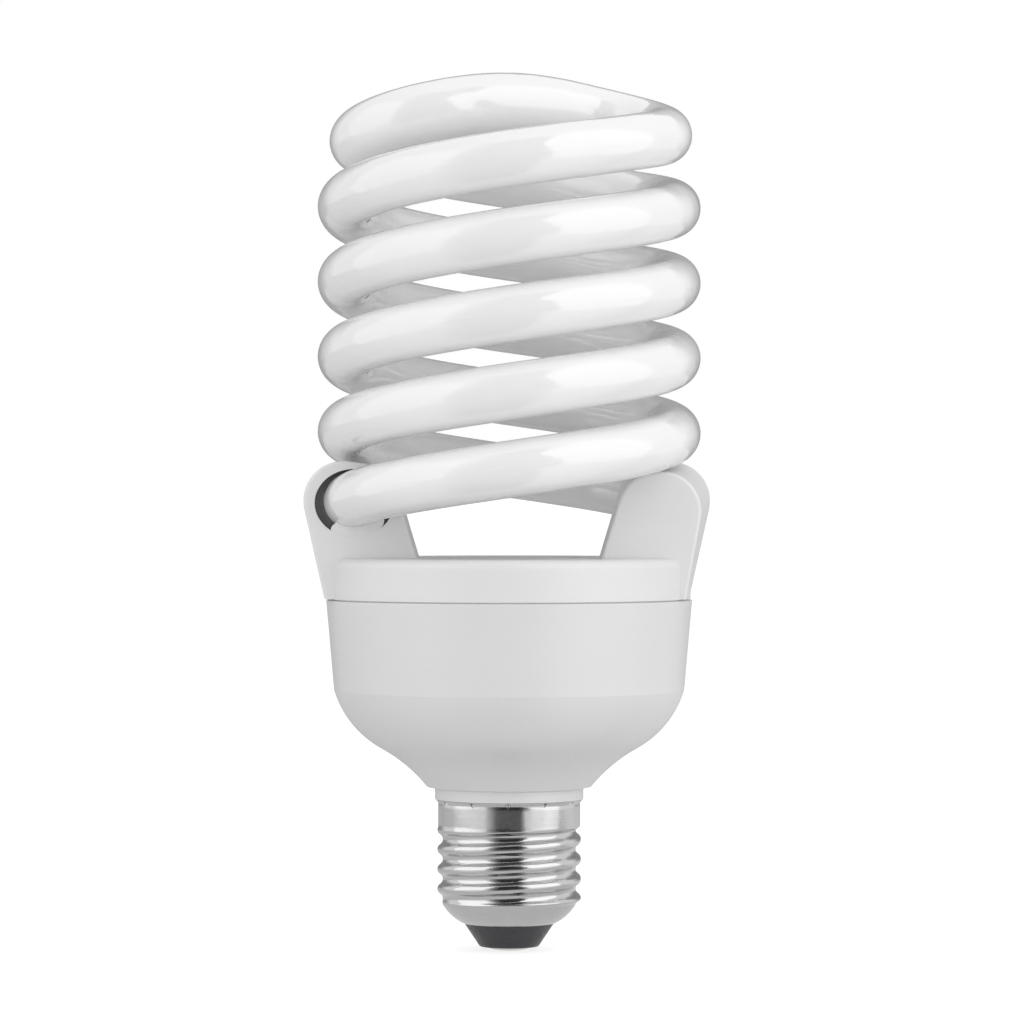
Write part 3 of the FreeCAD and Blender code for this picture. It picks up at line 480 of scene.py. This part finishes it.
bead = [adhesive_column(i / ADHESIVE_COLUMNS) for i in range(ADHESIVE_COLUMNS + 1)]
ring = [shade_ring_column(i / SHADE_RING_COLUMNS) for i in range(SHADE_RING_COLUMNS)]
# A dark grey ring in each mouth's gap, put there as painted shade.
packing_finish = moulded("packing_finish", (0.08, 0.08, 0.08), (0.13, 0.13, 0.13),
                         gloss=(0.16, 0.28))
beads = mouth_filling("adhesive", bead, False, finishes["adhesive"])
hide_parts("tube_adhesive_left")
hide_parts("tube_adhesive_right")
mouth_filling("packing", ring, True, packing_finish)


# Studio

LAMP_AIM = (0, 0, 0.09)
BROAD = (1.30, 1.30)
WINDOW_DISTANCE = 0.30
WINDOW_HEIGHT = 0.118           # middle of the glass
CARD_FOOT = 0.002
LYING_CARD_HEIGHT = 0.001
UNDER_BULB = (0.035, 0.060)     # radii between which the lying card changes
FLOOR_REACH = 60.0


def around(azimuth, elevation, distance, centre):
    """A point seen from `centre` at an angle right of the camera's side and above the floor."""
    a = math.radians(azimuth)
    e = math.radians(elevation)
    reach = Vector((math.sin(a) * math.cos(e), -math.cos(a) * math.cos(e), math.sin(e)))
    return Vector(centre) + distance * reach


def softbox(name, azimuth, elevation, distance, size, radiance):
    """A rectangular lamp aimed at the object; `radiance` is how bright its face is."""
    data = bpy.data.lights.new(name, "AREA")
    data.shape = "RECTANGLE"
    data.size, data.size_y = size
    data.energy = radiance * math.pi * size[0] * size[1]
    lamp = bpy.data.objects.new(name, data)
    bpy.context.scene.collection.objects.link(lamp)
    lamp.location = around(azimuth, elevation, distance, LAMP_AIM)
    direction = Vector(LAMP_AIM) - lamp.location
    lamp.rotation_euler = direction.to_track_quat("-Z", "Y").to_euler()
    lamp.visible_glossy = False


def seen_as_background(tree):
    """1 for the rays that show a background: from the camera, off gloss and through glass."""
    path = put(tree, "ShaderNodeLightPath")
    seen = calculate(tree, "MAXIMUM", path.outputs["Is Camera Ray"], path.outputs["Is Glossy Ray"])
    return calculate(tree, "MAXIMUM", seen, path.outputs["Is Transmission Ray"])


def white_world(fill):
    """A white background, and a softer even fill as light."""
    world = bpy.data.worlds.new("studio_world")
    bpy.context.scene.world = world
    world.use_nodes = True
    tree = world.node_tree
    tree.nodes.clear()
    strength = spread(tree, seen_as_background(tree), fill, 1.0)
    sky = put(tree, "ShaderNodeBackground", {"Color": (1, 1, 1, 1), "Strength": strength})
    put(tree, "ShaderNodeOutputWorld", {"Surface": sky.outputs[0]})


def sheet_mesh(name, corners, material):
    """A flat sheet of the studio, which is no part of the bulb."""
    mesh = bpy.data.meshes.new(name)
    mesh.from_pydata([tuple(c) for c in corners], [], [tuple(range(len(corners)))])
    mesh.materials.append(material)
    made = bpy.data.objects.new(name, mesh)
    bpy.context.scene.collection.objects.link(made)
    return made


def floor_finish():
    """Pale floor that looks white, keeps shadows, and can be looked through from below."""
    material = bpy.data.materials.new("floor_finish")
    material.use_nodes = True
    tree = material.node_tree
    tree.nodes.clear()
    matt = put(tree, "ShaderNodeBsdfDiffuse", {"Color": (0.68, 0.68, 0.68, 1)}).outputs[0]
    shaded = put(tree, "ShaderNodeBsdfDiffuse", {"Color": (0.40, 0.40, 0.40, 1)}).outputs[0]
    lifted = put(tree, "ShaderNodeEmission", {"Color": (1, 1, 1, 1), "Strength": 0.76}).outputs[0]
    seen = put(tree, "ShaderNodeAddShader", {0: shaded, 1: lifted}).outputs[0]
    background = seen_as_background(tree)
    top = put(tree, "ShaderNodeMixShader", {0: background, 1: matt, 2: seen}).outputs[0]
    under = put(tree, "ShaderNodeBsdfTransparent").outputs[0]
    behind = put(tree, "ShaderNodeNewGeometry").outputs["Backfacing"]
    both = put(tree, "ShaderNodeMixShader", {0: behind, 1: top, 2: under}).outputs[0]
    put(tree, "ShaderNodeOutputMaterial", {"Surface": both})
    return material


def reflector(name, corners):
    """A glowing card that only reflections see, and the tree that shades it."""
    material = bpy.data.materials.new(name + "_finish")
    material.use_nodes = True
    tree = material.node_tree
    tree.nodes.clear()
    glow = put(tree, "ShaderNodeEmission")
    put(tree, "ShaderNodeOutputMaterial", {"Surface": glow.outputs[0]})
    card = sheet_mesh(name, corners, material)
    card.visible_camera = False
    card.visible_diffuse = False
    card.visible_transmission = False
    card.visible_shadow = False
    return tree, glow.inputs["Strength"]


def window_card(name, azimuth, shade, outline):
    """A glowing card square to an azimuth; its outline is in shares of the distance, right and up."""
    sideways = around(azimuth + 90, 0, 1, (0, 0, 0))
    upwards = Vector((0, 0, 1))
    middle = around(azimuth, 0, WINDOW_DISTANCE, (0, 0, WINDOW_HEIGHT))
    corners = [middle + WINDOW_DISTANCE * (right * sideways + up * upwards) for right, up in outline]
    _, strength = reflector(name, corners)
    strength.default_value = shade


def upright_card(name, y, half_width, top, shades):
    """A card across the view, `shades` going from its middle to its two sides."""
    tree, strength = reflector(name, [(-half_width, y, CARD_FOOT), (half_width, y, CARD_FOOT),
                                      (half_width, y, top), (-half_width, y, top)])
    x, _, _, _ = split(tree, put(tree, "ShaderNodeTexCoord").outputs["Object"])
    aside = calculate(tree, "ABSOLUTE", x)
    shade = spread(tree, aside, shades[0], shades[1], half_width * 0.4, half_width)
    tree.links.new(shade, strength)


def lying_card(name, reach, near, turns):
    """A card round the foot of the bulb: plain under it, and shaded by azimuth further out."""
    z = LYING_CARD_HEIGHT
    tree, strength = reflector(name, [(-reach, -reach, z), (reach, -reach, z),
                                      (reach, reach, z), (-reach, reach, z)])
    x, y, _, radius = split(tree, put(tree, "ShaderNodeTexCoord").outputs["Object"])
    azimuth = calculate(tree, "ARCTAN2", x, calculate(tree, "MULTIPLY", y, -1.0))
    ramp = put(tree, "ShaderNodeValToRGB", {"Fac": turn_share(tree, azimuth)})
    stops = ramp.color_ramp.elements
    while len(stops) < len(turns):
        stops.new(1.0)
    for stop, (angle, shade) in zip(stops, turns):
        stop.position = (angle + 180) / 360
        stop.color = (shade, shade, shade, 1)
    far = spread(tree, radius, 0.0, 1.0, UNDER_BULB[0], UNDER_BULB[1])
    shade = blend(tree, far, (near, near, near), ramp.outputs["Color"])
    tree.links.new(shade, strength)


sheet_mesh("floor", [(-FLOOR_REACH, -FLOOR_REACH, 0), (FLOOR_REACH, -FLOOR_REACH, 0),
                     (FLOOR_REACH, FLOOR_REACH, 0), (-FLOOR_REACH, FLOOR_REACH, 0)], floor_finish())
white_world(fill=0.75)
softbox("key_right", azimuth=60, elevation=28, distance=1.0, size=BROAD, radiance=0.70)
softbox("fill_left", azimuth=-62, elevation=28, distance=1.0, size=BROAD, radiance=0.24)
softbox("back_fill", azimuth=172, elevation=24, distance=1.0, size=BROAD, radiance=0.34)
softbox("front_fill", azimuth=-4, elevation=-3, distance=1.2, size=(0.6, 0.2), radiance=8.0)
window_card("right_window", azimuth=55, shade=1.70, outline=[
    (-0.43, -0.28), (0.12, -0.38), (0.62, -0.38), (0.70, 0.08),
    (0.59, 0.99), (0.31, 2.06), (-0.16, 2.39), (-0.76, 1.10)])
window_card("left_window", azimuth=-72, shade=1.60, outline=[
    (0.62, -0.25), (-0.10, -0.36), (-0.45, -0.36), (-0.56, -0.03),
    (-0.64, 1.28), (0.52, 1.48), (0.70, 1.09)])
upright_card("front_card", y=-0.50, half_width=0.36, top=1.5, shades=(0.04, 0.50))
upright_card("back_card", y=0.45, half_width=0.60, top=0.5, shades=(0.32, 0.85))
lying_card("foot_card", reach=0.50, near=0.72, turns=[
    (-180, 0.36), (-150, 0.60), (-105, 0.70), (-62, 1.04), (-42, 1.00),
    (-20, 0.17), (19, 0.15), (27, 1.12), (62, 1.08), (80, 0.90),
    (90, 0.68), (112, 0.94), (150, 0.74), (180, 0.36)])


# Camera

FOCAL_PIXELS = 4557.7
FRAME_PIXELS = 1024
SENSOR = 36.0
SHIFT = (0.00278, -0.01846)
CAMERA_PLACE = (0, -0.83739, 0.083855)

data = bpy.data.cameras.new("camera")
data.sensor_width = SENSOR
data.lens = FOCAL_PIXELS / FRAME_PIXELS * SENSOR
data.shift_x, data.shift_y = SHIFT
camera = bpy.data.objects.new("camera", data)
bpy.context.scene.collection.objects.link(camera)
camera.location = CAMERA_PLACE
camera.rotation_euler = (math.radians(90), 0, 0)
bpy.context.scene.camera = camera
bpy.context.scene.view_settings.view_transform = "Standard"
